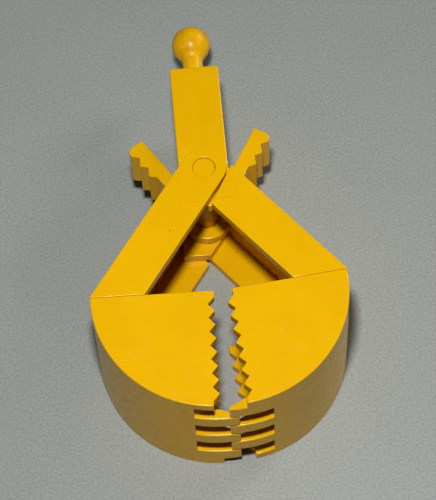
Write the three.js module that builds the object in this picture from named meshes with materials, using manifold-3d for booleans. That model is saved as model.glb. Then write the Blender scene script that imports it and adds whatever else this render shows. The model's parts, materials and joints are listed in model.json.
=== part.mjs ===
// Toy clamshell grab, lying flat: a stem with a ball stud, and two jaws that turn on one pin.
//
// Millimetres, +Z up. The grab lies on its lower cheeks, so the thickness runs along Z.
// Each piece is first built about the pivot axis (x = 0, y = 0) with +Y towards the ball.
// The two jaws are the same moulding: the right one is the left one turned over about Y.
// At the end everything moves so that the origin is under the middle of the whole grab.

import * as THREE from 'three';
import { mergeVertices } from 'three/addons/utils/BufferGeometryUtils.js';
import Module from 'manifold-3d';

// ---------------------------------------------------------------- driving dimensions

const THICKNESS = 28.4; // over both cheeks
const WALL = 2.2; // every moulded wall and plate
const RUN_GAP = 0.3; // clearance between pieces
const TURN = Math.PI / 180;

const LEFT_OPEN = 1.7 * TURN; // how far each jaw stands open at rest
const RIGHT_OPEN = 4.9 * TURN;
const WIDEST_OPEN = 30 * TURN;

const ARM_ANGLE = 34 * TURN; // arm, measured from -Y
const ARM_HALF_WIDTH = 4.4; // also the radius of the round end
const PIVOT_TO_CHEEK = 26.9;
const LAP_PAD_X = -5.2; // the thickened lower lap is a rectangle with this corner
const LAP_PAD_Y = -7.4;

const PIN_RADIUS = 2.25;
const PIN_RECESS = 0.5; // pin ends sit below the arms' outer faces
const PIN_CHAMFER = 0.25;

const TAB_ANGLE = 35 * TURN; // finger tab, measured from +Y
const TAB_INNER = 3; // distances from the pivot axis, square to the tab
const TAB_VALLEY = 5.72;
const TAB_CREST = 6.85;
const TAB_END = 16.9; // distances from the pivot axis, along the tab
const TAB_FIRST_VALLEY = 8.35;
const TAB_TOOTH_PITCH = 2.86;
const TAB_TOOTH_RISE = 1.18;
const TAB_TEETH = 3;
const TAB_TIP_ROUND = 1.7;
const TAB_HEIGHT = 10;

const CHEEK_RADIUS = 24;
const CHEEK_CENTRE_X = 0.7;
const CHEEK_CENTRE_DROP = 0.2; // below the cheek's straight edge
const TOOTH_PITCH = 2.88;
const TOOTH_TIP_X = 0.45; // tips reach over the middle line, valleys stay behind it
const TOOTH_VALLEY_X = -0.85;
const TOOTH_COUNT = 8;

const WALL_LEVELS = 6; // tongues and slots, one above the other
const SLOT_END_X = -4.7;
const TONGUE_TIP_X = 3.85;
const TONGUE_TAPER_X = 0.3; // from here its inner side closes in on the outer one
const TONGUE_TIP_DEPTH = 0.55;
const TONGUE_CLEAR = 0.2;

const STEM_HALF_WIDTH = 4.92;
const STEM_LENGTH = 26.1; // pivot to the end face
const STEM_END_BLOCK = 5.6;
const STEM_WEB_START = 3.4;
const STEM_CORNER = 0.8;

const BALL_RADIUS = 3.96;
const BALL_Y = 37;
const NECK_RADIUS = 2.1;
const NECK_FLARE = 0.5;
const SPIGOT_RADIUS = 1.5;
const SPIGOT_LENGTH = 4;

const ROUND_STEPS = 20; // segments in half a turn, or along a cheek's rim
const HALF = 2;
const FAR = 100; // further than the grab reaches

// ---------------------------------------------------------------- derived levels along Z

const OUTER_LAP_LOW = THICKNESS - WALL;
const INNER_LAP_LOW = WALL + RUN_GAP;
const INNER_LAP_HIGH = INNER_LAP_LOW + WALL;
const STEM_LOW = INNER_LAP_HIGH + RUN_GAP;
const STEM_HIGH = THICKNESS - STEM_LOW;
const MIDDLE = THICKNESS / HALF;
const LEVEL = (THICKNESS - HALF * WALL) / WALL_LEVELS;

// ---------------------------------------------------------------- solids

const wasm = await Module();
wasm.setup();

/** Turns a closed three.js geometry into a manifold-3d solid. */
function solid(geometry) {
  const bare = geometry.index ? geometry.toNonIndexed() : geometry.clone();
  bare.deleteAttribute('normal');
  bare.deleteAttribute('uv');
  const merged = mergeVertices(bare, 1e-5);
  const mesh = new wasm.Mesh({
    numProp: 3,
    vertProperties: new Float32Array(merged.attributes.position.array),
    triVerts: new Uint32Array(merged.index.array),
  });
  mesh.merge();
  return new wasm.Manifold(mesh);
}

/** Turns a manifold-3d solid into a named, coloured mesh. */
function piece(name, body, material) {
  const mesh = body.getMesh();
  const geometry = new THREE.BufferGeometry();
  geometry.setAttribute('position', new THREE.BufferAttribute(mesh.vertProperties, 3));
  geometry.setIndex(new THREE.BufferAttribute(mesh.triVerts, 1));
  geometry.computeVertexNormals();
  const result = new THREE.Mesh(geometry, material);
  result.name = name;
  return result;
}

/** A flat outline given height, from one level to another. */
function plate(shape, low, high) {
  const geometry = new THREE.ExtrudeGeometry(shape, {
    depth: high - low,
    bevelEnabled: false,
    curveSegments: ROUND_STEPS,
  });
  geometry.translate(0, 0, low);
  return solid(geometry);
}

/** An upright round bar on the pivot axis. */
function pivotBar(radius, low, high) {
  const geometry = new THREE.CylinderGeometry(radius, radius, high - low, HALF * ROUND_STEPS);
  geometry.rotateX(Math.PI / HALF);
  geometry.translate(0, 0, (low + high) / HALF);
  return solid(geometry);
}

/** A box between two corners. */
function block(low, high) {
  const size = high.map((value, axis) => value - low[axis]);
  const geometry = new THREE.BoxGeometry(...size);
  geometry.translate(...low.map((value, axis) => value + size[axis] / HALF));
  return solid(geometry);
}

function outline(points) {
  return new THREE.Shape(points.map(([x, y]) => new THREE.Vector2(x, y)));
}

/** The point at two given distances along two unit directions. */
function crossing(first, firstDistance, second, secondDistance) {
  const det = first[0] * second[1] - first[1] * second[0];
  const x = (firstDistance * second[1] - secondDistance * first[1]) / det;
  const y = (first[0] * secondDistance - second[0] * firstDistance) / det;
  return [x, y];
}

const pinHole = pivotBar(PIN_RADIUS + RUN_GAP, -WALL, THICKNESS + WALL);

// ---------------------------------------------------------------- arm yoke

const ARM_OUT = [-Math.cos(ARM_ANGLE), Math.sin(ARM_ANGLE)]; // square to the arm, outwards
const TAB_ALONG = [-Math.sin(TAB_ANGLE), Math.cos(TAB_ANGLE)];
const TAB_OUT = [-Math.cos(TAB_ANGLE), -Math.sin(TAB_ANGLE)];
const SEAM_Y = -PIVOT_TO_CHEEK + RUN_GAP / HALF;

/** Where a line along the arm, at a distance from the pivot, reaches a height y. */
function armLineAt(distance, y) {
  return [(distance - ARM_OUT[1] * y) / ARM_OUT[0], y];
}

/** A point on the finger tab from its distances along and square to it. */
function tabPoint(along, out) {
  return [
    along * TAB_ALONG[0] + out * TAB_OUT[0],
    along * TAB_ALONG[1] + out * TAB_OUT[1],
  ];
}

/** One arm plate seen from above: a band with a round end about the pivot. */
function armOutline() {
  const shape = new THREE.Shape();
  shape.moveTo(...armLineAt(ARM_HALF_WIDTH, SEAM_Y));
  shape.lineTo(...armLineAt(-ARM_HALF_WIDTH, SEAM_Y));
  shape.absarc(0, 0, ARM_HALF_WIDTH, -ARM_ANGLE, Math.PI - ARM_ANGLE, false);
  shape.closePath();
  return shape;
}

/** The lower arm, stepped up at the pivot so that the other jaw's arm passes under it. */
function lowerArm() {
  const stepped = plate(armOutline(), 0, INNER_LAP_HIGH);
  const padRoom = block([LAP_PAD_X, LAP_PAD_Y, WALL], [FAR, FAR, THICKNESS]);
  const floor = block([-FAR, -FAR, -WALL], [FAR, FAR, WALL]);
  const shoulder = -(ARM_HALF_WIDTH + RUN_GAP);
  const otherArm = outline([
    mirrored(armLineAt(shoulder, FAR)),
    mirrored(armLineAt(shoulder, -FAR)),
    [FAR, -FAR],
    [FAR, FAR],
  ]);
  const recess = plate(otherArm, -WALL, INNER_LAP_LOW);
  return stepped.intersect(padRoom.add(floor)).subtract(recess);
}

function mirrored([x, y]) {
  return [-x, y];
}

/** The wall along the arm's outer edge. It stops short of the stem when the jaw is wide open. */
function armWeb() {
  const flange = [-Math.cos(WIDEST_OPEN), -Math.sin(WIDEST_OPEN)];
  const clear = STEM_HALF_WIDTH + RUN_GAP;
  const shape = outline([
    armLineAt(ARM_HALF_WIDTH, SEAM_Y),
    armLineAt(ARM_HALF_WIDTH - WALL, SEAM_Y),
    crossing(ARM_OUT, ARM_HALF_WIDTH - WALL, flange, clear),
    crossing(ARM_OUT, ARM_HALF_WIDTH, flange, clear),
  ]);
  return plate(shape, WALL / HALF, THICKNESS - WALL / HALF);
}

/** The serrated finger tab and its root, which runs into the web at mid height. */
function fingerTab() {
  const rootY = LAP_PAD_Y;
  const shape = new THREE.Shape();
  shape.moveTo(...armLineAt(ARM_HALF_WIDTH - WALL, rootY));
  shape.lineTo(...crossing(TAB_OUT, TAB_INNER, ARM_OUT, ARM_HALF_WIDTH - WALL));
  shape.lineTo(...tabPoint(TAB_END, TAB_INNER));
  shape.lineTo(...tabPoint(TAB_END, TAB_CREST - TAB_TIP_ROUND));
  const lastCrest = TAB_FIRST_VALLEY + (TAB_TEETH - 1) * TAB_TOOTH_PITCH + TAB_TOOTH_RISE;
  shape.quadraticCurveTo(
    ...tabPoint(TAB_END, TAB_CREST),
    ...tabPoint(lastCrest, TAB_CREST),
  );
  for (let tooth = TAB_TEETH - 1; tooth >= 0; tooth -= 1) {
    const valley = TAB_FIRST_VALLEY + tooth * TAB_TOOTH_PITCH;
    shape.lineTo(...tabPoint(valley + TAB_TOOTH_RISE, TAB_CREST));
    shape.lineTo(...tabPoint(valley, TAB_VALLEY));
  }
  shape.lineTo(...crossing(TAB_OUT, TAB_VALLEY, ARM_OUT, ARM_HALF_WIDTH));
  shape.lineTo(...armLineAt(ARM_HALF_WIDTH, rootY));
  shape.closePath();
  return plate(shape, MIDDLE - TAB_HEIGHT / HALF, MIDDLE + TAB_HEIGHT / HALF);
}

/** Upper arm, lower arm, web and finger tab, moulded as one. */
function armYoke() {
  const upper = plate(armOutline(), OUTER_LAP_LOW, THICKNESS);
  return upper.add(lowerArm()).add(armWeb()).add(fingerTab()).subtract(pinHole);
}

// ---------------------------------------------------------------- bucket shell

const RIM_CENTRE = [CHEEK_CENTRE_X, -PIVOT_TO_CHEEK - CHEEK_CENTRE_DROP];
const SHELL_TOP = -PIVOT_TO_CHEEK - RUN_GAP / HALF;

/** The quarter disc inside a given radius, run on past the middle line to a given x. */
function discOutline(radius, endX, topY) {
  const rimStart = -Math.PI + Math.asin((RIM_CENTRE[1] - SHELL_TOP) / radius);
  const rimEnd = -Math.acos((endX - RIM_CENTRE[0]) / radius);
  const shape = new THREE.Shape();
  shape.absarc(...RIM_CENTRE, radius, rimStart, rimEnd, false);
  shape.lineTo(endX, topY);
  shape.lineTo(RIM_CENTRE[0] + radius * Math.cos(rimStart), topY);
  shape.closePath();
  return shape;
}

/** Everything beyond a cheek's toothed closing edge. */
function beyondTeeth(firstX, secondX) {
  const shape = new THREE.Shape();
  shape.moveTo(FAR, WALL + SHELL_TOP);
  shape.lineTo(firstX, WALL + SHELL_TOP);
  shape.lineTo(firstX, -PIVOT_TO_CHEEK - TOOTH_PITCH / HALF);
  for (let step = 2; step <= HALF * TOOTH_COUNT; step += 1) {
    const x = step % HALF === 0 ? secondX : firstX;
    shape.lineTo(x, -PIVOT_TO_CHEEK - (step * TOOTH_PITCH) / HALF);
  }
  shape.lineTo(secondX, -FAR);
  shape.lineTo(FAR, -FAR);
  shape.closePath();
  return shape;
}

/** The space in the curved wall for one tongue of the other jaw, beyond a given x. */
function slotRoom(fromX, low, high) {
  return block([fromX, -FAR, low], [FAR, SHELL_TOP + WALL, high]);
}

/** How far down a circle about the rim's centre reaches at a given x. */
function rimLowest(radius, x) {
  const across = x - RIM_CENTRE[0];
  return RIM_CENTRE[1] - Math.sqrt(radius * radius - across * across);
}

/** The space behind the tongues, which thin towards their tips. */
function taperRoom() {
  const rootY = rimLowest(CHEEK_RADIUS - WALL, TONGUE_TAPER_X);
  const tipY = rimLowest(CHEEK_RADIUS, TONGUE_TIP_X) + TONGUE_TIP_DEPTH;
  const shape = outline([
    [TONGUE_TAPER_X, rootY],
    [TONGUE_TIP_X, tipY],
    [FAR, tipY],
    [FAR, SHELL_TOP],
    [TONGUE_TAPER_X, SHELL_TOP],
  ]);
  return plate(shape, WALL, OUTER_LAP_LOW);
}

/** Two cheeks, the curved wall between them, and the tongues on every second level. */
function bucketShell() {
  const inner = CHEEK_RADIUS - WALL;
  let shell = plate(discOutline(CHEEK_RADIUS, TONGUE_TIP_X, SHELL_TOP), 0, THICKNESS);
  const hollow = discOutline(inner, TONGUE_TIP_X + WALL, SHELL_TOP + WALL);
  shell = shell.subtract(plate(hollow, WALL, OUTER_LAP_LOW));
  const upperEdge = beyondTeeth(TOOTH_TIP_X, TOOTH_VALLEY_X);
  const lowerEdge = beyondTeeth(TOOTH_VALLEY_X, TOOTH_TIP_X);
  shell = shell.subtract(plate(upperEdge, OUTER_LAP_LOW, THICKNESS + WALL));
  shell = shell.subtract(plate(lowerEdge, -WALL, WALL));
  shell = shell.subtract(slotRoom(TOOTH_VALLEY_X, WALL, WALL + TONGUE_CLEAR));
  shell = shell.subtract(taperRoom());
  for (let level = 1; level < WALL_LEVELS; level += 2) {
    const low = WALL + level * LEVEL - TONGUE_CLEAR;
    const high = Math.min(low + LEVEL + HALF * TONGUE_CLEAR, OUTER_LAP_LOW);
    shell = shell.subtract(slotRoom(SLOT_END_X, low, high));
  }
  return shell;
}

// ---------------------------------------------------------------- stem

/** A flange of the stem: straight sides, a round end about the pivot, eased far corners. */
function stemOutline() {
  const side = STEM_HALF_WIDTH;
  const far = STEM_LENGTH;
  const ease = STEM_CORNER;
  const shape = new THREE.Shape();
  shape.absarc(0, 0, side, Math.PI, HALF * Math.PI, false);
  shape.absarc(side - ease, far - ease, ease, 0, Math.PI / HALF, false);
  shape.absarc(-side + ease, far - ease, ease, Math.PI / HALF, Math.PI, false);
  shape.closePath();
  return shape;
}

/** An I-section bar: two flanges, a web on the middle plane and a solid end for the stud. */
function stemBlock() {
  const flanges = plate(stemOutline(), STEM_LOW, STEM_LOW + WALL)
    .add(plate(stemOutline(), STEM_HIGH - WALL, STEM_HIGH));
  const endLow = STEM_LENGTH - STEM_END_BLOCK;
  const endRoom = block([-STEM_LENGTH, endLow, 0], [STEM_LENGTH, HALF * STEM_LENGTH, THICKNESS]);
  const end = plate(stemOutline(), STEM_LOW, STEM_HIGH).intersect(endRoom);
  const overlap = WALL / HALF;
  const web = block(
    [-WALL / HALF, STEM_WEB_START, STEM_LOW + overlap],
    [WALL / HALF, endLow + overlap, STEM_HIGH - overlap],
  );
  const socket = new THREE.CylinderGeometry(
    SPIGOT_RADIUS + RUN_GAP,
    SPIGOT_RADIUS + RUN_GAP,
    HALF * (SPIGOT_LENGTH + RUN_GAP),
    HALF * ROUND_STEPS,
  );
  socket.translate(0, STEM_LENGTH, MIDDLE);
  return flanges.add(end).add(web).subtract(solid(socket)).subtract(pinHole);
}

/** Ball, neck and spigot, turned about the stem's axis. */
function ballStud() {
  const neckStart = STEM_LENGTH + RUN_GAP;
  const profile = [
    new THREE.Vector2(0, STEM_LENGTH - SPIGOT_LENGTH),
    new THREE.Vector2(SPIGOT_RADIUS, STEM_LENGTH - SPIGOT_LENGTH),
    new THREE.Vector2(SPIGOT_RADIUS, neckStart),
    new THREE.Vector2(NECK_RADIUS + NECK_FLARE, neckStart),
    new THREE.Vector2(NECK_RADIUS, neckStart + NECK_FLARE),
  ];
  const meet = Math.asin(NECK_RADIUS / BALL_RADIUS);
  for (let step = 0; step < ROUND_STEPS; step += 1) {
    const angle = meet + (step / ROUND_STEPS) * (Math.PI - meet);
    profile.push(new THREE.Vector2(
      BALL_RADIUS * Math.sin(angle),
      BALL_Y - BALL_RADIUS * Math.cos(angle),
    ));
  }
  profile.push(new THREE.Vector2(0, BALL_Y + BALL_RADIUS));
  const geometry = new THREE.LatheGeometry(profile, HALF * ROUND_STEPS);
  geometry.translate(0, 0, MIDDLE);
  return solid(geometry);
}

/** The pin through all six plates, with lightly chamfered ends. */
function pivotPin() {
  const low = PIN_RECESS;
  const high = THICKNESS - PIN_RECESS;
  const edge = PIN_RADIUS - PIN_CHAMFER;
  const profile = [
    new THREE.Vector2(0, low),
    new THREE.Vector2(edge, low),
    new THREE.Vector2(PIN_RADIUS, low + PIN_CHAMFER),
    new THREE.Vector2(PIN_RADIUS, high - PIN_CHAMFER),
    new THREE.Vector2(edge, high),
    new THREE.Vector2(0, high),
  ];
  const geometry = new THREE.LatheGeometry(profile, HALF * ROUND_STEPS);
  geometry.rotateX(Math.PI / HALF);
  geometry.scale(1, -1, 1);
  geometry.index.array.reverse();
  return solid(geometry);
}

// ---------------------------------------------------------------- assembly

const yellow = new THREE.MeshStandardMaterial({ color: 0xf2bc00, roughness: 0.42, metalness: 0 });
const ballYellow = new THREE.MeshStandardMaterial({ color: 0xdda200, roughness: 0.22, metalness: 0 });

function jaw(side) {
  const group = new THREE.Group();
  group.add(piece(`${side}_arm_yoke`, armYoke(), yellow.clone()));
  group.add(piece(`${side}_bucket_shell`, bucketShell(), yellow.clone()));
  return group;
}

const leftJaw = jaw('left');
leftJaw.rotation.z = -LEFT_OPEN;

const turnedOver = jaw('right');
turnedOver.rotation.y = Math.PI;
turnedOver.position.z = THICKNESS;
const rightJaw = new THREE.Group();
rightJaw.add(turnedOver);
rightJaw.rotation.z = RIGHT_OPEN;

const grab = new THREE.Group();
grab.add(piece('stem_block', stemBlock(), yellow.clone()));
grab.add(piece('ball_stud', ballStud(), ballYellow));
grab.add(piece('pivot_pin', pivotPin(), yellow.clone()));
grab.add(leftJaw);
grab.add(rightJaw);

const extent = new THREE.Box3().setFromObject(grab, true);
const middle = extent.getCenter(new THREE.Vector3());
grab.position.set(-middle.x, -middle.y, -extent.min.z);

export default grab;
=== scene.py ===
"""Looks for the toy clamshell grab: every moulded piece rebuilt with eased edges, and finished.

Pieces are first built in millimetres about the pivot axis, with +Y towards the ball.
settle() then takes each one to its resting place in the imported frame, in metres.
"""
import json
import math

import bmesh
import bpy
from mathutils import Matrix, Vector


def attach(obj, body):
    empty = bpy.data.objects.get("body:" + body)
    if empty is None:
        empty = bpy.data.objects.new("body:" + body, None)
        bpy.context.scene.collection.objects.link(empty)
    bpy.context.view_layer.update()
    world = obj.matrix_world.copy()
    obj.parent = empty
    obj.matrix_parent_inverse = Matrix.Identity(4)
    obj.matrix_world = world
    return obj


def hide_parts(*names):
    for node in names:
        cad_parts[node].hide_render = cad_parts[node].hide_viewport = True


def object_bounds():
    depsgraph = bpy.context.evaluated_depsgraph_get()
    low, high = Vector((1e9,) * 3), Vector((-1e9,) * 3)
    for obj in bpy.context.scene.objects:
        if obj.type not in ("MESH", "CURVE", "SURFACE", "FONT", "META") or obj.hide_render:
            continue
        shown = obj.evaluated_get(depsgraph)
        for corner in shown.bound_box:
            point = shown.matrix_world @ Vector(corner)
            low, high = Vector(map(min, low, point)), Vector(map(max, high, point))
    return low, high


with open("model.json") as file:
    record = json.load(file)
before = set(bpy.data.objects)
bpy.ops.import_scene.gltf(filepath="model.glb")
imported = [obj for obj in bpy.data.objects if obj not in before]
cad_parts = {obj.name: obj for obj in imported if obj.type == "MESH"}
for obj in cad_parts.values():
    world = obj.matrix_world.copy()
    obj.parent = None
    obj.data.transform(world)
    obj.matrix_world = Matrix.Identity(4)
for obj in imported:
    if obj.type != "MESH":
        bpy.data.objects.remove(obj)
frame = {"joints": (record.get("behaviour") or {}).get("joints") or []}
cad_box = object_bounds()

MM = 0.001
HALF = 0.5

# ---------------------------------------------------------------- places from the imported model

JOINTS = {joint["name"]: joint for joint in frame["joints"]}
LEFT_HINGE = JOINTS["left_jaw_hinge"]
RIGHT_HINGE = JOINTS["right_jaw_hinge"]
PIVOT = Vector(LEFT_HINGE["pos_m"])
LEFT_TURN = -math.radians(max(LEFT_HINGE["range_deg"]))
RIGHT_TURN = -math.radians(min(RIGHT_HINGE["range_deg"]))
THICKNESS = cad_box[1].z / MM

# ---------------------------------------------------------------- dimensions, in millimetres

WALL = 2.2
SEAM_GAP = 0.05
HOLE_GAP = 0.05
LAP_GAP = 0.3
ARM_SET_BACK = 0.05

ARM_ANGLE = math.radians(34)
ARM_HALF_WIDTH = 4.4
PIVOT_TO_CHEEK = 26.9
LAP_PAD_X = -5.2
LAP_PAD_Y = -7.4
WIDEST_OPEN = math.radians(30)
WITNESS_TOP_Y = -0.7
WITNESS_WIDTH = 0.26
WITNESS_DEPTH = 0.09

PIN_RADIUS = 2.25
PIN_RECESS = 0.25
PIN_CHAMFER = 0.2

TAB_ANGLE = math.radians(35)
TAB_INNER = 3
TAB_VALLEY = 5.72
TAB_CREST = 6.85
TAB_END = 16.9
TAB_FIRST_VALLEY = 8.35
TAB_TOOTH_PITCH = 2.86
TAB_TOOTH_RISE = 1.18
TAB_TEETH = 3
TAB_TIP_ROUND = 1.7
TAB_HEIGHT = 10

CHEEK_RADIUS = 24
CHEEK_CENTRE = (0.7, -27.1)
TOOTH_PITCH = 2.88
TOOTH_TIP_X = 0.45
TOOTH_VALLEY_X = -0.85
TOOTH_COUNT = 8
WALL_LEVELS = 6
SLOT_END_X = -4.7
TONGUE_TIP_X = 3.85
TONGUE_TAPER_X = 0.3
TONGUE_TIP_DEPTH = 0.55
TONGUE_CLEAR = 0.2

STEM_HALF_WIDTH = 4.92
STEM_LENGTH = 26.1
STEM_END_BLOCK = 5.6
STEM_WEB_START = 3.4
STEM_CORNER = 0.6
SINK_HALF_WIDTH = 1.3
SINK_DEPTH = 0.07
SINK_OVERRUN = 1.2

BALL_RADIUS = 3.96
BALL_Y = 37
NECK_RADIUS = 2.1
NECK_FLARE = 0.5
NECK_FILLET = 2.4
SPIGOT_RADIUS = 1.5
SPIGOT_LENGTH = 4

FAR = 100
ARC_STEP = math.radians(3)
SHORTEST_FACET = 0.14
ROUND_STEPS = 96
TIP_STEPS = 12
FLARE_STEPS = 6
FILLET_STEPS = 8
BALL_STEPS = 40
EASED = 0.3
EASED_SMALL = 0.2
EASED_STEPS = 3
BEVEL_FROM = math.radians(28)
SMOOTH_BELOW = math.radians(38)
LEVEL_FACE = 0.99999
JOIN_WITHIN = 0.003
FLAT_WITHIN = math.radians(0.4)
WIDE_FACES_LEAD = 100

# ---------------------------------------------------------------- levels along Z

OUTER_LAP_LOW = THICKNESS - WALL
INNER_LAP_LOW = WALL + LAP_GAP
INNER_LAP_HIGH = INNER_LAP_LOW + WALL
STEM_LOW = INNER_LAP_HIGH + LAP_GAP
STEM_HIGH = THICKNESS - STEM_LOW
MIDDLE = THICKNESS * HALF
LEVEL = (THICKNESS - 2 * WALL) / WALL_LEVELS

# ---------------------------------------------------------------- outlines


def arc(centre, radius, start, end):
    """Points along a circle from one angle to another."""
    facet = max(ARC_STEP, SHORTEST_FACET / radius)
    count = max(1, round(abs(end - start) / facet))
    angles = [start + (end - start) * step / count for step in range(count + 1)]
    return [
        (centre[0] + radius * math.cos(angle), centre[1] + radius * math.sin(angle))
        for angle in angles
    ]


def rim_angle(radius, x):
    """Where a circle about the rim's centre passes a given x, on its lower side."""
    return -math.acos((x - CHEEK_CENTRE[0]) / radius)


def rim_arc(radius, start, end):
    """An arc of the rim with a point wherever a tongue or slot begins or ends."""
    stops = [rim_angle(radius, x) for x in (SLOT_END_X, TOOTH_VALLEY_X, TOOTH_TIP_X)]
    inside = [stop for stop in stops if start < stop < end]
    ends = [start, *inside, end]
    points = []
    for first, last in zip(ends, ends[1:]):
        points += arc(CHEEK_CENTRE, radius, first, last)[:-1]
    x, y = CHEEK_CENTRE
    points.append((x + radius * math.cos(end), y + radius * math.sin(end)))
    return points


def rim_lowest(radius, x):
    """How far down a circle about the rim's centre reaches at a given x."""
    return CHEEK_CENTRE[1] - math.sqrt(radius**2 - (x - CHEEK_CENTRE[0]) ** 2)


def crossing(first, first_distance, second, second_distance):
    """The point at two given distances along two unit directions."""
    det = first[0] * second[1] - first[1] * second[0]
    x = (first_distance * second[1] - second_distance * first[1]) / det
    y = (first[0] * second_distance - second[0] * first_distance) / det
    return (x, y)


ARM_OUT = (-math.cos(ARM_ANGLE), math.sin(ARM_ANGLE))
TAB_ALONG = (-math.sin(TAB_ANGLE), math.cos(TAB_ANGLE))
TAB_OUT = (-math.cos(TAB_ANGLE), -math.sin(TAB_ANGLE))


def arm_line_at(distance, y):
    """Where a line along the arm, at a distance from the pivot, reaches a height y."""
    return ((distance - ARM_OUT[1] * y) / ARM_OUT[0], y)


def tab_point(along, out):
    """A point on the finger tab from its distances along and square to it."""
    x = along * TAB_ALONG[0] + out * TAB_OUT[0]
    y = along * TAB_ALONG[1] + out * TAB_OUT[1]
    return (x, y)


def rectangle(low, high):
    return [low, (high[0], low[1]), high, (low[0], high[1])]


# ---------------------------------------------------------------- solids


def new_object(name, bm):
    mesh = bpy.data.meshes.new(name)
    bmesh.ops.recalc_face_normals(bm, faces=bm.faces)
    bm.to_mesh(mesh)
    bm.free()
    made = bpy.data.objects.new(name, mesh)
    bpy.context.scene.collection.objects.link(made)
    return made


def plate(points, low, high):
    """A flat outline given height, from one level to another."""
    bm = bmesh.new()
    under = [bm.verts.new((x, y, low)) for x, y in points]
    over = [bm.verts.new((x, y, high)) for x, y in points]
    bm.faces.new(under[::-1])
    bm.faces.new(over)
    for index in range(len(points)):
        after = (index + 1) % len(points)
        bm.faces.new((under[index], under[after], over[after], over[index]))
    return new_object("tool", bm)


def block(low, high):
    """A box between two corners."""
    return plate(rectangle(low[:2], high[:2]), low[2], high[2])


def upright_bar(radius, low, high):
    """A round bar on the pivot axis."""
    return plate(arc((0, 0), radius, 0, 2 * math.pi)[:-1], low, high)


def turned(profile, steps=ROUND_STEPS):
    """A solid of revolution about Z, from (radius, height) points that begin and end on it."""
    bm = bmesh.new()
    rings = []
    for radius, height in profile:
        if radius == 0:
            rings.append([bm.verts.new((0, 0, height))])
            continue
        angles = [2 * math.pi * step / steps for step in range(steps)]
        ring = [(radius * math.cos(a), radius * math.sin(a), height) for a in angles]
        rings.append([bm.verts.new(point) for point in ring])
    for lower, upper in zip(rings, rings[1:]):
        bridge(bm, lower, upper, steps)
    return new_object("turned", bm)


def bridge(bm, lower, upper, steps):
    """Faces between two rings of a turned solid, either of which may be a single point."""
    for step in range(steps):
        after = (step + 1) % steps
        corners = [lower[step % len(lower)], lower[after % len(lower)]]
        corners += [upper[after % len(upper)], upper[step % len(upper)]]
        bm.faces.new(list(dict.fromkeys(corners)))


def worked(base, steps):
    """Adds and takes away solids one after the other, and returns the base with the result."""
    for operation, tool in steps:
        modifier = base.modifiers.new(operation, "BOOLEAN")
        modifier.operation = operation
        modifier.solver = "EXACT"
        modifier.object = tool
    graph = bpy.context.evaluated_depsgraph_get()
    result = bpy.data.meshes.new_from_object(base.evaluated_get(graph))
    base.modifiers.clear()
    base.data = result
    for _, tool in steps:
        bpy.data.objects.remove(tool)
    return base


def pin_hole():
    return upright_bar(PIN_RADIUS + HOLE_GAP, -WALL, THICKNESS + WALL)


# ---------------------------------------------------------------- arm yoke


def arm_outline():
    """One arm plate seen from above: a band with a round end about the pivot."""
    seam_y = -PIVOT_TO_CHEEK + SEAM_GAP * HALF
    points = [
        arm_line_at(ARM_HALF_WIDTH, seam_y),
        arm_line_at(-ARM_HALF_WIDTH, seam_y),
    ]
    return points + arc((0, 0), ARM_HALF_WIDTH, -ARM_ANGLE, math.pi - ARM_ANGLE)


def lower_arm():
    """The lower arm, stepped up at the pivot so that the other jaw's arm passes under it."""
    stepped = plate(arm_outline(), ARM_SET_BACK, INNER_LAP_HIGH)
    room = block((LAP_PAD_X, LAP_PAD_Y, WALL), (FAR, FAR, THICKNESS))
    floor = block((-FAR, -FAR, -WALL), (FAR, FAR, WALL))
    shoulder = -(ARM_HALF_WIDTH + LAP_GAP)
    low_end = arm_line_at(shoulder, -FAR)
    high_end = arm_line_at(shoulder, FAR)
    beyond = [(-high_end[0], FAR), (-low_end[0], -FAR), (FAR, -FAR), (FAR, FAR)]
    recess = plate(beyond, -WALL, INNER_LAP_LOW)
    kept = worked(room, [("UNION", floor)])
    return worked(stepped, [("INTERSECT", kept), ("DIFFERENCE", recess)])


def arm_web():
    """The wall along the arm's outer edge, which clears the stem when the jaw is wide open."""
    flange = (-math.cos(WIDEST_OPEN), -math.sin(WIDEST_OPEN))
    clear = STEM_HALF_WIDTH + LAP_GAP
    seam_y = -PIVOT_TO_CHEEK + SEAM_GAP * HALF
    points = [
        arm_line_at(ARM_HALF_WIDTH, seam_y),
        arm_line_at(ARM_HALF_WIDTH - WALL, seam_y),
        crossing(ARM_OUT, ARM_HALF_WIDTH - WALL, flange, clear),
        crossing(ARM_OUT, ARM_HALF_WIDTH, flange, clear),
    ]
    return plate(points, WALL * HALF, THICKNESS - WALL * HALF)


def tab_tip():
    """The rounded corner at the free end of the tab, as a curve from its side to its crest."""
    last = TAB_FIRST_VALLEY + (TAB_TEETH - 1) * TAB_TOOTH_PITCH + TAB_TOOTH_RISE
    start = tab_point(TAB_END, TAB_CREST - TAB_TIP_ROUND)
    bend = tab_point(TAB_END, TAB_CREST)
    end = tab_point(last, TAB_CREST)
    points = []
    for step in range(TIP_STEPS + 1):
        t = step / TIP_STEPS
        points.append(
            tuple(
                (1 - t) ** 2 * a + 2 * t * (1 - t) * b + t**2 * c
                for a, b, c in zip(start, bend, end)
            )
        )
    return points


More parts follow.
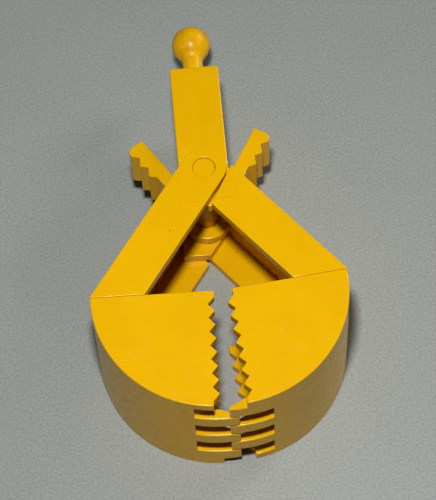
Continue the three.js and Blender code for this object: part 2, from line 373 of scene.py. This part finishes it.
def finger_tab():
    """The serrated finger tab and its root, which runs into the web at mid height."""
    inner = ARM_HALF_WIDTH - WALL
    points = [
        arm_line_at(inner, LAP_PAD_Y),
        crossing(TAB_OUT, TAB_INNER, ARM_OUT, inner),
        tab_point(TAB_END, TAB_INNER),
    ]
    points += tab_tip()
    for tooth in reversed(range(TAB_TEETH)):
        valley = TAB_FIRST_VALLEY + tooth * TAB_TOOTH_PITCH
        if tooth < TAB_TEETH - 1:
            points.append(tab_point(valley + TAB_TOOTH_RISE, TAB_CREST))
        points.append(tab_point(valley, TAB_VALLEY))
    points.append(crossing(TAB_OUT, TAB_VALLEY, ARM_OUT, ARM_HALF_WIDTH))
    points.append(arm_line_at(ARM_HALF_WIDTH, LAP_PAD_Y))
    return plate(points, MIDDLE - TAB_HEIGHT * HALF, MIDDLE + TAB_HEIGHT * HALF)


def witness_lines(level):
    """Two shallow lines left by a joint in the mould, square to each other on an arm's face."""
    low = level - WITNESS_DEPTH
    high = level + WITNESS_DEPTH
    width = WITNESS_WIDTH
    down = block(
        (LAP_PAD_X - width, LAP_PAD_Y - width, low),
        (LAP_PAD_X, WITNESS_TOP_Y, high),
    )
    across = block(
        (LAP_PAD_X - width * HALF, LAP_PAD_Y - width, low),
        (0, LAP_PAD_Y, high),
    )
    return worked(down, [("UNION", across)])


def arm_yoke(name):
    """Upper arm, lower arm, web and finger tab, moulded as one."""
    upper = plate(arm_outline(), OUTER_LAP_LOW, THICKNESS - ARM_SET_BACK)
    steps = [
        ("UNION", lower_arm()),
        ("UNION", arm_web()),
        ("UNION", finger_tab()),
        ("DIFFERENCE", pin_hole()),
    ]
    fine = [
        ("DIFFERENCE", witness_lines(THICKNESS - ARM_SET_BACK)),
        ("DIFFERENCE", witness_lines(ARM_SET_BACK)),
    ]
    return finished(name, worked(upper, steps), EASED_SMALL, fine)


# ---------------------------------------------------------------- bucket shell


def disc_outline(radius, end_x, top_y):
    """The quarter disc inside a given radius, run on past the middle line to a given x."""
    drop = CHEEK_CENTRE[1] - top_y
    start = -math.pi + math.asin(drop / radius)
    points = rim_arc(radius, start, rim_angle(radius, end_x))
    points.append((end_x, top_y))
    points.append((CHEEK_CENTRE[0] + radius * math.cos(start), top_y))
    return points


def shell_top():
    return -PIVOT_TO_CHEEK - SEAM_GAP * HALF


def beyond_teeth(first_x, second_x):
    """Everything beyond a cheek's toothed closing edge."""
    points = [(FAR, FAR), (first_x, FAR)]
    points.append((first_x, -PIVOT_TO_CHEEK - TOOTH_PITCH * HALF))
    for step in range(2, 2 * TOOTH_COUNT + 1):
        x = first_x if step % 2 else second_x
        points.append((x, -PIVOT_TO_CHEEK - step * TOOTH_PITCH * HALF))
    points.append((second_x, -FAR))
    points.append((FAR, -FAR))
    return points


def slot_room(from_x, low, high):
    """The space in the curved wall for one tongue of the other jaw, beyond a given x."""
    return block((from_x, -FAR, low), (FAR, shell_top() + WALL, high))


def taper_room():
    """The space behind the tongues, which thin towards their tips."""
    root_y = rim_lowest(CHEEK_RADIUS - WALL, TONGUE_TAPER_X)
    tip_y = rim_lowest(CHEEK_RADIUS, TONGUE_TIP_X) + TONGUE_TIP_DEPTH
    points = [
        (TONGUE_TAPER_X, root_y),
        (TONGUE_TIP_X, tip_y),
        (FAR, tip_y),
        (FAR, shell_top()),
        (TONGUE_TAPER_X, shell_top()),
    ]
    return plate(points, WALL, OUTER_LAP_LOW)


def bucket_shell(name):
    """Two cheeks, the curved wall between them, and the tongues on every second level."""
    top = shell_top()
    shell = plate(disc_outline(CHEEK_RADIUS, TONGUE_TIP_X, top), 0, THICKNESS)
    hollow = disc_outline(CHEEK_RADIUS - WALL, TONGUE_TIP_X + WALL, top + WALL)
    upper_edge = beyond_teeth(TOOTH_TIP_X, TOOTH_VALLEY_X)
    lower_edge = beyond_teeth(TOOTH_VALLEY_X, TOOTH_TIP_X)
    steps = [
        ("DIFFERENCE", plate(hollow, WALL, OUTER_LAP_LOW)),
        ("DIFFERENCE", plate(upper_edge, OUTER_LAP_LOW, THICKNESS + WALL)),
        ("DIFFERENCE", plate(lower_edge, -WALL, WALL)),
        ("DIFFERENCE", taper_room()),
    ]
    for level in range(1, WALL_LEVELS, 2):
        low = WALL + level * LEVEL - TONGUE_CLEAR
        high = min(low + LEVEL + 2 * TONGUE_CLEAR, OUTER_LAP_LOW)
        steps.append(("DIFFERENCE", slot_room(SLOT_END_X, low, high)))
    fine = [("DIFFERENCE", slot_room(TOOTH_TIP_X, WALL, WALL + TONGUE_CLEAR))]
    return finished(name, worked(shell, steps), EASED, fine)


# ---------------------------------------------------------------- stem, ball stud and pin


def stem_outline():
    """A flange of the stem: straight sides, a round end about the pivot, eased far corners."""
    side = STEM_HALF_WIDTH
    ease = STEM_CORNER
    far = STEM_LENGTH - ease
    points = arc((0, 0), side, math.pi, 2 * math.pi)
    points += arc((side - ease, far), ease, 0, math.pi * HALF)
    points += arc((ease - side, far), ease, math.pi * HALF, math.pi)
    return points


def sink_line():
    """A long shallow dish along a face, where the web behind it drew the plastic in."""
    radius = (SINK_HALF_WIDTH**2 + SINK_DEPTH**2) / (2 * SINK_DEPTH)
    half_angle = math.asin(SINK_HALF_WIDTH / radius) * SINK_OVERRUN
    downwards = -math.pi * HALF
    centre = (0, STEM_HIGH + radius - SINK_DEPTH)
    top = arc(centre, radius, downwards - half_angle, downwards + half_angle)
    lying = plate(top, 0, STEM_LENGTH - STEM_END_BLOCK - STEM_HALF_WIDTH)
    stand = Matrix.Rotation(math.pi * HALF, 4, "X")
    lying.data.transform(Matrix.Translation((0, STEM_LENGTH - STEM_END_BLOCK, 0)) @ stand)
    return lying


def stem_block(name):
    """An I-section bar: two flanges, a web on the middle plane and a solid end for the stud."""
    lower = plate(stem_outline(), STEM_LOW, STEM_LOW + WALL)
    upper = plate(stem_outline(), STEM_HIGH - WALL, STEM_HIGH)
    end_low = STEM_LENGTH - STEM_END_BLOCK
    end_room = block((-FAR, end_low, 0), (FAR, FAR, THICKNESS))
    end = worked(plate(stem_outline(), STEM_LOW, STEM_HIGH), [("INTERSECT", end_room)])
    web = block(
        (-WALL * HALF, STEM_WEB_START, STEM_LOW + WALL * HALF),
        (WALL * HALF, end_low + WALL * HALF, STEM_HIGH - WALL * HALF),
    )
    socket = upright_bar(SPIGOT_RADIUS + HOLE_GAP, -SPIGOT_LENGTH, SPIGOT_LENGTH)
    lay_along_stem(socket, STEM_LENGTH)
    steps = [
        ("UNION", upper),
        ("UNION", end),
        ("UNION", web),
        ("DIFFERENCE", socket),
        ("DIFFERENCE", pin_hole()),
    ]
    fine = [("DIFFERENCE", sink_line())]
    return finished(name, worked(lower, steps), EASED, fine)


def lay_along_stem(made, start):
    """Turns a solid built on Z so that it lies along the stem's axis."""
    lie = Matrix.Rotation(-math.pi * HALF, 4, "X")
    made.data.transform(Matrix.Translation((0, start, MIDDLE)) @ lie)


def ball_and_fillet():
    """The hollow curve from the neck into the ball, and then the ball to its far pole."""
    centre_out = NECK_RADIUS + NECK_FILLET
    reach = BALL_RADIUS + NECK_FILLET
    centre_y = BALL_Y - math.sqrt(reach**2 - centre_out**2)
    touch = math.asin(centre_out / reach)
    points = []
    for step in range(FILLET_STEPS + 1):
        angle = -math.pi * HALF + step / FILLET_STEPS * (math.pi * HALF - touch)
        points.append(
            (
                centre_out + NECK_FILLET * math.sin(angle),
                centre_y + NECK_FILLET * math.cos(angle),
            )
        )
    for step in range(1, BALL_STEPS):
        angle = touch + step / BALL_STEPS * (math.pi - touch)
        points.append((BALL_RADIUS * math.sin(angle), BALL_Y - BALL_RADIUS * math.cos(angle)))
    points.append((0, BALL_Y + BALL_RADIUS))
    return points


def ball_stud(name):
    """Ball, neck and spigot, turned about the stem's axis."""
    neck_start = STEM_LENGTH + SEAM_GAP
    foot = STEM_LENGTH - SPIGOT_LENGTH + SEAM_GAP
    flare_y = neck_start + NECK_FLARE
    profile = [(0, foot), (SPIGOT_RADIUS, foot), (SPIGOT_RADIUS, neck_start)]
    quarter = [math.pi * HALF * step / FLARE_STEPS for step in range(FLARE_STEPS + 1)]
    for angle in quarter:
        out = NECK_RADIUS + NECK_FLARE * (1 - math.sin(angle))
        profile.append((out, flare_y - NECK_FLARE * math.cos(angle)))
    profile += ball_and_fillet()
    made = turned(profile)
    lay_along_stem(made, 0)
    return finished(name, made, 0)


def pivot_pin(name):
    """The pin through all six plates, with lightly chamfered ends."""
    low = PIN_RECESS
    high = THICKNESS - PIN_RECESS
    edge = PIN_RADIUS - PIN_CHAMFER
    profile = [
        (0, low),
        (edge, low),
        (PIN_RADIUS, low + PIN_CHAMFER),
        (PIN_RADIUS, high - PIN_CHAMFER),
        (edge, high),
        (0, high),
    ]
    return finished(name, turned(profile), 0)


# ---------------------------------------------------------------- eased edges, resting places


def finished(name, made, width, fine=()):
    """Cleans a solid, eases its outer edges, makes its fine cuts, and sets how it is shaded."""
    bm = bmesh.new()
    bm.from_mesh(made.data)
    tidy(bm)
    worn = bm.faces.layers.float.new("edge_wear")
    if width:
        ease_edges(bm, width, worn)
    bm.to_mesh(made.data)
    bm.free()
    if fine:
        worked(made, fine)
    made.name = name
    made.data.name = name
    curved = [abs(face.normal.z) < LEVEL_FACE for face in made.data.polygons]
    made.data.polygons.foreach_set("use_smooth", curved)
    made.data.set_sharp_from_angle(angle=SMOOTH_BELOW)
    part_level_faces(made.data)
    weighted = made.modifiers.new("flat_faces", "WEIGHTED_NORMAL")
    weighted.keep_sharp = True
    weighted.weight = WIDE_FACES_LEAD
    return made


def part_level_faces(mesh):
    """Keeps the shading of level faces apart from that of the edges around them."""
    around = set()
    for face in mesh.polygons:
        if abs(face.normal.z) > LEVEL_FACE:
            around.update(face.edge_keys)
    for edge in mesh.edges:
        if edge.key in around:
            edge.use_edge_sharp = True


def tidy(bm):
    """Joins doubled points and takes out the edges that a cut leaves across flat faces."""
    bmesh.ops.remove_doubles(bm, verts=bm.verts, dist=JOIN_WITHIN)
    bmesh.ops.dissolve_degenerate(bm, dist=JOIN_WITHIN, edges=bm.edges)
    bmesh.ops.dissolve_limit(bm, angle_limit=FLAT_WITHIN, verts=bm.verts, edges=bm.edges)


def ease_edges(bm, width, worn):
    """Rounds every sharp outer edge and marks the new faces for the finish."""
    sharp = [
        edge
        for edge in bm.edges
        if len(edge.link_faces) == 2
        and edge.is_convex
        and edge.calc_face_angle() > BEVEL_FROM
    ]
    made = bmesh.ops.bevel(
        bm,
        geom=sharp,
        offset=width,
        offset_type="WIDTH",
        segments=EASED_STEPS,
        profile=HALF,
        affect="EDGES",
        clamp_overlap=False,
    )
    for face in made["faces"]:
        face[worn] = 1.0


def settle(made, turn=0.0, over=False):
    """Takes a piece from its building place to where it rests, in metres."""
    place = Matrix.Translation((PIVOT.x, PIVOT.y, 0)) @ Matrix.Scale(MM, 4)
    place = place @ Matrix.Rotation(turn, 4, "Z")
    if over:
        flip = Matrix.Rotation(math.pi, 4, "Y")
        place = place @ Matrix.Translation((0, 0, THICKNESS)) @ flip
    made.data.transform(place)
    return made


# ---------------------------------------------------------------- node helpers


class Nodes:
    """Adds nodes to a material and joins them up, a line at a time."""

    def __init__(self, material):
        material.use_nodes = True
        self.tree = material.node_tree
        self.shader = self.tree.nodes["Principled BSDF"]

    def add(self, kind, inputs=(), **settings):
        """A node with its settings and inputs, each a value or another node's output."""
        node = self.tree.nodes.new(kind)
        for key, value in settings.items():
            setattr(node, key, value)
        for key, value in dict(inputs).items():
            self.feed(node.inputs[key], value)
        return node

    def feed(self, socket, value):
        if isinstance(value, bpy.types.NodeSocket):
            self.tree.links.new(value, socket)
        else:
            socket.default_value = value

    def maths(self, operation, first, second=0.0, third=0.0, clamp=False):
        values = {0: first, 1: second, 2: third}
        node = self.add("ShaderNodeMath", values, operation=operation, use_clamp=clamp)
        return node.outputs[0]

    def ramp(self, value, low, high, start=0.0, end=1.0, smooth=True):
        """Takes a value from low to high, smoothly, onto start to end."""
        kind = "SMOOTHSTEP" if smooth else "LINEAR"
        inputs = {0: value, 1: low, 2: high, 3: start, 4: end}
        return self.add("ShaderNodeMapRange", inputs, interpolation_type=kind).outputs[0]

    def mix(self, share, first, second, blend="MIX"):
        node = self.add("ShaderNodeMix", data_type="RGBA", blend_type=blend)
        self.feed(node.inputs[0], share)
        self.feed(node.inputs[6], first)
        self.feed(node.inputs[7], second)
        return node.outputs[2]

    def noise(self, where, scale, detail=2.0, roughness=0.5, distortion=0.0):
        inputs = {
            "Vector": where,
            "Scale": scale,
            "Detail": detail,
            "Roughness": roughness,
            "Distortion": distortion,
        }
        return self.add("ShaderNodeTexNoise", inputs).outputs["Fac"]

    def mapped(self, where, scale, turn=(0, 0, 0), shift=(0, 0, 0)):
        inputs = {"Vector": where, "Scale": scale, "Rotation": turn, "Location": shift}
        return self.add("ShaderNodeMapping", inputs).outputs[0]


def millimetres(nodes):
    """The point on the piece, in millimetres, which moves with the piece."""
    where = nodes.add("ShaderNodeTexCoord").outputs["Object"]
    return nodes.mapped(where, (1 / MM,) * 3)


# ---------------------------------------------------------------- finishes

YELLOW = (0.79, 0.455, 0.0, 1)
YELLOW_DEEP = (0.77, 0.435, 0.0, 1)
YELLOW_PALE = (0.8, 0.47, 0.002, 1)
EDGE_YELLOW = (0.88, 0.54, 0.02, 1)
SCUFF = (0.78, 0.52, 0.1, 1)
GRIME = (0.16, 0.08, 0.01, 1)
BALL_YELLOW = (0.84, 0.48, 0.0, 1)
BALL_BROWN = (0.55, 0.22, 0.002, 1)
MOULDED_ROUGHNESS = 0.26
PLASTIC_IOR = 1.5
PLASTIC_SPECULAR = 0.36
GRAIN_HEIGHT = 0.008
SWELL_HEIGHT = 0.03
SCRATCH_DEPTH = 0.012
BALL_RELIEF = 0.06


def scratches(nodes, where, turn, density, seed):
    """Sparse hairlines that run one way."""
    along = nodes.mapped(where, (0.09, 6.0, 0.5), turn, (seed, seed * 2, seed * 3))
    lines = nodes.noise(along, 1.0, 2.0, 0.6)
    thin = nodes.ramp(lines, density, density + 0.05)
    patches = nodes.noise(where, 0.13 + seed * 0.01)
    return nodes.maths("MULTIPLY", thin, nodes.ramp(patches, 0.5, 0.62))


def all_scratches(nodes, where):
    first = scratches(nodes, where, (0, 0, 0.9), 0.66, 1.0)
    second = scratches(nodes, where, (0, 0, -0.5), 0.66, 4.0)
    third = scratches(nodes, where, (0, 0.4, 2.1), 0.67, 9.0)
    return nodes.maths("MAXIMUM", nodes.maths("MAXIMUM", first, second), third)


def specks(nodes, where, scale, size, share):
    """Small dark spots, only in some cells of a scattered pattern."""
    cells = nodes.add(
        "ShaderNodeTexVoronoi", {"Vector": where, "Scale": scale, "Randomness": 1.0}
    )
    near = nodes.ramp(cells.outputs["Distance"], size * HALF, size, 1.0, 0.0)
    chance = nodes.add("ShaderNodeSeparateColor", {0: cells.outputs["Color"]}).outputs[0]
    return nodes.maths("MULTIPLY", near, nodes.maths("LESS_THAN", chance, share))


def wear(nodes, where):
    """Masks for hairlines, scuffs, specks and rubbed edges, and the fine noise behind them."""
    fine = nodes.noise(where, 1.1, 3.0, 0.6)
    broad_scuff = nodes.ramp(nodes.noise(where, 0.35, 4.0, 0.7), 0.6, 0.72)
    fine_scuff = nodes.ramp(nodes.noise(where, 3.0, 3.0, 0.8), 0.45, 0.7)
    edge = nodes.add("ShaderNodeAttribute", attribute_name="edge_wear").outputs["Fac"]
    return {
        "fine": fine,
        "hair": all_scratches(nodes, where),
        "scuff": nodes.maths("MULTIPLY", broad_scuff, fine_scuff),
        "dots": specks(nodes, where, 0.22, 0.06, 0.14),
        "rubbed": nodes.maths("MULTIPLY", edge, nodes.ramp(fine, 0.3, 0.75, 0.25, 1.0)),
    }


def plastic_colour(nodes, where, worn, base, deep, pale):
    """Drifting colour, paler where it is scratched or rubbed."""
    drift = nodes.noise(where, 0.09, 3.0, 0.55, 0.4)
    colour = nodes.mix(nodes.ramp(drift, 0.35, 0.68), deep, base)
    colour = nodes.mix(nodes.ramp(drift, 0.55, 0.8, 0.0, 0.5), colour, pale)
    colour = nodes.mix(nodes.ramp(worn["fine"], 0.3, 0.7, 0.0, 0.12), colour, deep)
    layers = (
        ("rubbed", 0.55, EDGE_YELLOW),
        ("hair", 0.3, EDGE_YELLOW),
        ("scuff", 0.35, SCUFF),
        ("dots", 0.5, GRIME),
    )
    for mask, strength, tint in layers:
        colour = nodes.mix(nodes.maths("MULTIPLY", worn[mask], strength), colour, tint)
    nodes.feed(nodes.shader.inputs["Base Color"], colour)


def plastic_gloss(nodes, where, worn, gloss):
    """Roughness that drifts, duller where scratched and brighter where rubbed."""
    cloud = nodes.noise(where, 0.5, 4.0, 0.65)
    rough = nodes.ramp(cloud, 0.25, 0.75, gloss - 0.06, gloss + 0.1)
    rough = nodes.maths("ADD", rough, nodes.maths("MULTIPLY", worn["hair"], 0.2))
    rough = nodes.maths("ADD", rough, nodes.maths("MULTIPLY", worn["scuff"], 0.18))
    polish = nodes.maths("MULTIPLY", worn["rubbed"], 0.1)
    rough = nodes.maths("SUBTRACT", rough, polish, clamp=True)
    nodes.feed(nodes.shader.inputs["Roughness"], rough)


def raise_surface(nodes, height):
    """A bump from a height in millimetres."""
    bump = nodes.add("ShaderNodeBump", {"Height": height, "Strength": 1.0, "Distance": MM})
    nodes.feed(nodes.shader.inputs["Normal"], bump.outputs[0])


def plastic(name, base, deep, pale, gloss):
    """Moulded plastic: drifting colour, hairlines, scuffs, specks and rubbed edges."""
    material = bpy.data.materials.new(name)
    nodes = Nodes(material)
    where = millimetres(nodes)
    worn = wear(nodes, where)
    plastic_colour(nodes, where, worn, base, deep, pale)
    plastic_gloss(nodes, where, worn, gloss)

    grain = nodes.maths("MULTIPLY", nodes.noise(where, 5.0, 3.0, 0.7), GRAIN_HEIGHT)
    swell = nodes.maths("MULTIPLY", nodes.noise(where, 0.2, 1.0), SWELL_HEIGHT)
    cuts = nodes.maths("MULTIPLY", worn["hair"], SCRATCH_DEPTH)
    height = nodes.maths("SUBTRACT", nodes.maths("ADD", grain, swell), cuts)
    raise_surface(nodes, height)
    nodes.shader.inputs["IOR"].default_value = PLASTIC_IOR
    nodes.shader.inputs["Specular IOR Level"].default_value = PLASTIC_SPECULAR
    return material


def ball_plastic(name):
    """The same plastic, polished and browned by the socket that it runs in."""
    material = bpy.data.materials.new(name)
    nodes = Nodes(material)
    where = millimetres(nodes)
    broad = nodes.noise(where, 0.32, 4.0, 0.6, 0.6)
    small = nodes.noise(where, 1.1, 4.0, 0.65, 0.3)
    along = nodes.noise(nodes.mapped(where, (1.6, 0.12, 1.6)), 1.0, 3.0, 0.6)
    brown = nodes.maths(
        "ADD",
        nodes.ramp(broad, 0.42, 0.75, 0.0, 0.45),
        nodes.ramp(small, 0.52, 0.72, 0.0, 0.25),
        clamp=True,
    )
    brown = nodes.maths("ADD", brown, nodes.ramp(along, 0.56, 0.74, 0.0, 0.3), clamp=True)
    colour = nodes.mix(brown, BALL_YELLOW, BALL_BROWN)
    dots = specks(nodes, where, 0.7, 0.12, 0.3)
    colour = nodes.mix(nodes.maths("MULTIPLY", dots, 0.5), colour, BALL_BROWN)
    nodes.feed(nodes.shader.inputs["Base Color"], colour)
    rough = nodes.ramp(small, 0.3, 0.8, 0.3, 0.46)
    nodes.feed(nodes.shader.inputs["Roughness"], rough)
    dents = nodes.noise(where, 0.9, 4.0, 0.6)
    raise_surface(nodes, nodes.maths("MULTIPLY", dents, BALL_RELIEF))
    nodes.shader.inputs["IOR"].default_value = PLASTIC_IOR
    nodes.shader.inputs["Specular IOR Level"].default_value = PLASTIC_SPECULAR
    return material


def table_top(name):
    """A plain pale grey top with a fine speckle."""
    material = bpy.data.materials.new(name)
    nodes = Nodes(material)
    where = millimetres(nodes)
    speckle = nodes.noise(where, 2.2, 3.0, 0.75)
    cloud = nodes.noise(where, 0.05, 3.0)
    share = nodes.ramp(speckle, 0.3, 0.7, 0.0, 1.0)
    colour = nodes.mix(share, FLOOR_DARK, FLOOR_LIGHT)
    colour = nodes.mix(nodes.ramp(cloud, 0.3, 0.7, 0.0, 0.12), colour, FLOOR_LIGHT)
    glints = nodes.ramp(nodes.noise(where, 3.4, 2.0, 0.6), 0.62, 0.72, 0.0, 0.5)
    colour = nodes.mix(glints, colour, FLOOR_GLINT)
    nodes.feed(nodes.shader.inputs["Base Color"], colour)
    nodes.feed(nodes.shader.inputs["Roughness"], nodes.ramp(speckle, 0.2, 0.8, 0.42, 0.6))
    return material


# ---------------------------------------------------------------- floor, light and camera

FLOOR_DARK = (0.28, 0.295, 0.28, 1)
FLOOR_LIGHT = (0.4, 0.42, 0.4, 1)
FLOOR_GLINT = (0.55, 0.57, 0.55, 1)
FLOOR_HALF = 6.0
SKY_LOW = (0.22, 0.22, 0.22, 1)
SKY_HIGH = (0.03, 0.03, 0.03, 1)
SKY_STRENGTH = 0.5
SKY_LOW_BELOW = 0.1
SKY_HIGH_ABOVE = 0.75

CAMERA_AZIMUTH = math.radians(-1.85)
CAMERA_ELEVATION = math.radians(63)
CAMERA_ROLL = math.radians(-3.53)
CAMERA_DISTANCE = 0.49468
CAMERA_LENS = 172.8
CAMERA_SENSOR = 36
CAMERA_NEAR_SHARE = 0.1
AIM_FROM_PIVOT = Vector((1.697, -3.984, 0)) * MM

KEY_FROM_PIVOT = Vector((-0.009, -0.112, 0.34))
KEY_SIZE = 0.03
KEY_POWER = 0.97
SIDE_FROM_PIVOT = Vector((0.753, 0.492, 0.439))
SIDE_SIZE = 0.3
SIDE_POWER = 2.4


def make_floor():
    bm = bmesh.new()
    half = FLOOR_HALF
    corners = [(-half, -half, 0), (half, -half, 0), (half, half, 0), (-half, half, 0)]
    bm.faces.new([bm.verts.new(corner) for corner in corners])
    floor = new_object("table_top", bm)
    floor.data.materials.append(table_top("table_grey"))


def make_lamp(name, from_pivot, size, power):
    """A round soft lamp that faces the pivot."""
    lamp = bpy.data.lights.new(name, "AREA")
    lamp.shape = "DISK"
    lamp.size = size
    lamp.energy = power
    made = bpy.data.objects.new(name, lamp)
    bpy.context.scene.collection.objects.link(made)
    made.location = PIVOT + from_pivot
    made.rotation_euler = from_pivot.to_track_quat("Z", "Y").to_euler()


def make_sky():
    """Pale studio walls under a darker ceiling."""
    world = bpy.data.worlds.new("studio")
    world.use_nodes = True
    tree = world.node_tree
    background = tree.nodes["Background"]
    background.inputs["Strength"].default_value = SKY_STRENGTH
    where = tree.nodes.new("ShaderNodeTexCoord").outputs["Generated"]
    axes = tree.nodes.new("ShaderNodeSeparateXYZ")
    tree.links.new(where, axes.inputs[0])
    height = tree.nodes.new("ShaderNodeMapRange")
    height.inputs["From Min"].default_value = SKY_LOW_BELOW
    height.inputs["From Max"].default_value = SKY_HIGH_ABOVE
    tree.links.new(axes.outputs["Z"], height.inputs["Value"])
    mix = tree.nodes.new("ShaderNodeMix")
    mix.data_type = "RGBA"
    mix.inputs[6].default_value = SKY_LOW
    mix.inputs[7].default_value = SKY_HIGH
    tree.links.new(height.outputs[0], mix.inputs[0])
    tree.links.new(mix.outputs[2], background.inputs["Color"])
    bpy.context.scene.world = world


def make_camera():
    """The camera stands above and in front of the buckets, turned a little about its axis."""
    level = math.cos(CAMERA_ELEVATION)
    back = Vector(
        (
            math.sin(CAMERA_AZIMUTH) * level,
            -math.cos(CAMERA_AZIMUTH) * level,
            math.sin(CAMERA_ELEVATION),
        )
    )
    data = bpy.data.cameras.new("camera")
    data.lens = CAMERA_LENS
    data.sensor_width = CAMERA_SENSOR
    data.clip_start = CAMERA_DISTANCE * CAMERA_NEAR_SHARE
    camera = bpy.data.objects.new("camera", data)
    bpy.context.scene.collection.objects.link(camera)
    aim = Vector((PIVOT.x, PIVOT.y, 0)) + AIM_FROM_PIVOT
    right = (-back).cross(Vector((0, 0, 1))).normalized()
    up = right.cross(-back)
    axes = Matrix((right, up, back)).transposed().to_4x4()
    turn = Matrix.Rotation(CAMERA_ROLL, 4, "Z")
    camera.matrix_world = Matrix.Translation(aim + back * CAMERA_DISTANCE) @ axes @ turn
    bpy.context.scene.camera = camera


# ---------------------------------------------------------------- the grab


def show(made, body, node, material):
    """Gives a finished piece its material and its body, and hides the CAD node that it stands
    for.
    """
    made.data.materials.clear()
    made.data.materials.append(material)
    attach(made, body)
    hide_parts(node)


def make_jaw(side, turn, over, material):
    for part, build in (("arm_yoke", arm_yoke), ("bucket_shell", bucket_shell)):
        made = settle(build(f"{side}_{part}_moulded"), turn, over)
        show(made, f"{side}_jaw", f"{side}_{part}", material)


def make_stem(material):
    show(settle(stem_block("stem_moulded")), "stem", "stem_block", material)
    show(settle(pivot_pin("pin_moulded")), "stem", "pivot_pin", material)
    stud = settle(ball_stud("ball_stud_worn"))
    show(stud, "stem", "ball_stud", ball_plastic("worn_ball_plastic"))


make_camera()
make_sky()
make_floor()
make_lamp("key_lamp", KEY_FROM_PIVOT, KEY_SIZE, KEY_POWER)
make_lamp("side_lamp", SIDE_FROM_PIVOT, SIDE_SIZE, SIDE_POWER)
bpy.context.scene.view_settings.view_transform = "Standard"
bpy.context.scene.view_settings.look = "Medium High Contrast"

moulded = plastic("moulded_yellow_plastic", YELLOW, YELLOW_DEEP, YELLOW_PALE, MOULDED_ROUGHNESS)
make_stem(moulded)
make_jaw("left", LEFT_TURN, False, moulded)
make_jaw("right", RIGHT_TURN, True, moulded)
